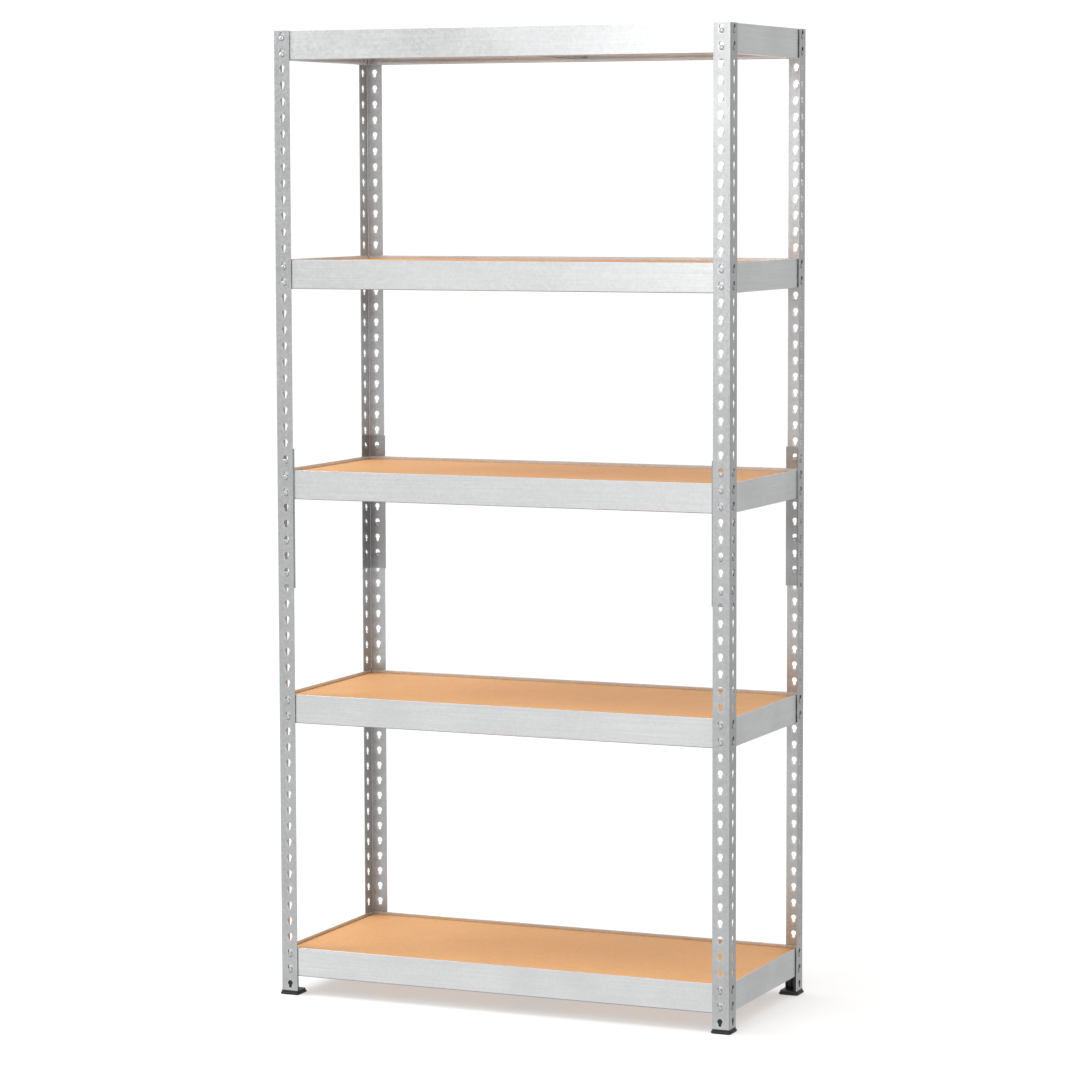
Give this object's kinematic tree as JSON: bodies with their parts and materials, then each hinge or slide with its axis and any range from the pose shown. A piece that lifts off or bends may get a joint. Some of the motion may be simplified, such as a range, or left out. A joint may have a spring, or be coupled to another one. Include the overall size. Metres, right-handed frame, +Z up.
{
  "type": "boltless steel shelving",
  "caption": "Free-standing galvanised boltless shelving unit with slotted angle posts, riveted beams and loose wood-fibre boards.",
  "frame": {"origin": "on the floor, under the middle of the unit", "axes": "+X along the width to the viewer's right, the front faces -Y, +Z up"},
  "size_m": [0.906, 0.396, 1.8],
  "materials": {
    "galvanised_post": "galvanised, semi-gloss with a fine spangle",
    "galvanised_beam": "galvanised, semi-gloss with a fine spangle",
    "splice_steel": "galvanised, semi-gloss",
    "rivet_zinc": "zinc plated, satin",
    "fibreboard": "raw pressed wood fibre, matt",
    "black_plastic": "moulded, matt"
  },
  "bodies": {
    "frame": {"post_front_left_lower": "galvanised_post", "post_front_left_upper": "galvanised_post", "post_front_right_lower": "galvanised_post", "post_front_right_upper": "galvanised_post", "post_rear_left_lower": "galvanised_post", "post_rear_left_upper": "galvanised_post", "post_rear_right_lower": "galvanised_post", "post_rear_right_upper": "galvanised_post", "splice_front_left": "splice_steel", "splice_front_right": "splice_steel", "splice_rear_left": "splice_steel", "splice_rear_right": "splice_steel", "splice_rivets": "rivet_zinc", "foot_front_left": "black_plastic", "foot_front_right": "black_plastic", "foot_rear_left": "black_plastic", "foot_rear_right": "black_plastic", "front_beam_1": "galvanised_beam", "front_beam_2": "galvanised_beam", "front_beam_3": "galvanised_beam", "front_beam_4": "galvanised_beam", "front_beam_5": "galvanised_beam", "rear_beam_1": "galvanised_beam", "rear_beam_2": "galvanised_beam", "rear_beam_3": "galvanised_beam", "rear_beam_4": "galvanised_beam", "rear_beam_5": "galvanised_beam", "left_beam_1": "galvanised_beam", "left_beam_2": "galvanised_beam", "left_beam_3": "galvanised_beam", "left_beam_4": "galvanised_beam", "left_beam_5": "galvanised_beam", "right_beam_1": "galvanised_beam", "right_beam_2": "galvanised_beam", "right_beam_3": "galvanised_beam", "right_beam_4": "galvanised_beam", "right_beam_5": "galvanised_beam", "centre_support_1": "galvanised_beam", "centre_support_2": "galvanised_beam", "centre_support_3": "galvanised_beam", "centre_support_4": "galvanised_beam", "centre_support_5": "galvanised_beam", "beam_rivets_1": "rivet_zinc", "beam_rivets_2": "rivet_zinc", "beam_rivets_3": "rivet_zinc", "beam_rivets_4": "rivet_zinc", "beam_rivets_5": "rivet_zinc"},
    "board_1": {"board_1": "fibreboard"},
    "board_2": {"board_2": "fibreboard"},
    "board_3": {"board_3": "fibreboard"},
    "board_4": {"board_4": "fibreboard"},
    "board_5": {"board_5": "fibreboard"}
  },
  "joints": [
    {"name": "board_1_lift", "type": "slide", "parent": "frame", "child": "board_1", "axis": [0, 0, 1], "range_m": [0, 0.3]},
    {"name": "board_2_lift", "type": "slide", "parent": "frame", "child": "board_2", "axis": [0, 0, 1], "range_m": [0, 0.3]},
    {"name": "board_3_lift", "type": "slide", "parent": "frame", "child": "board_3", "axis": [0, 0, 1], "range_m": [0, 0.3]},
    {"name": "board_4_lift", "type": "slide", "parent": "frame", "child": "board_4", "axis": [0, 0, 1], "range_m": [0, 0.3]},
    {"name": "board_5_lift", "type": "slide", "parent": "frame", "child": "board_5", "axis": [0, 0, 1], "range_m": [0, 0.3]}
  ]
}
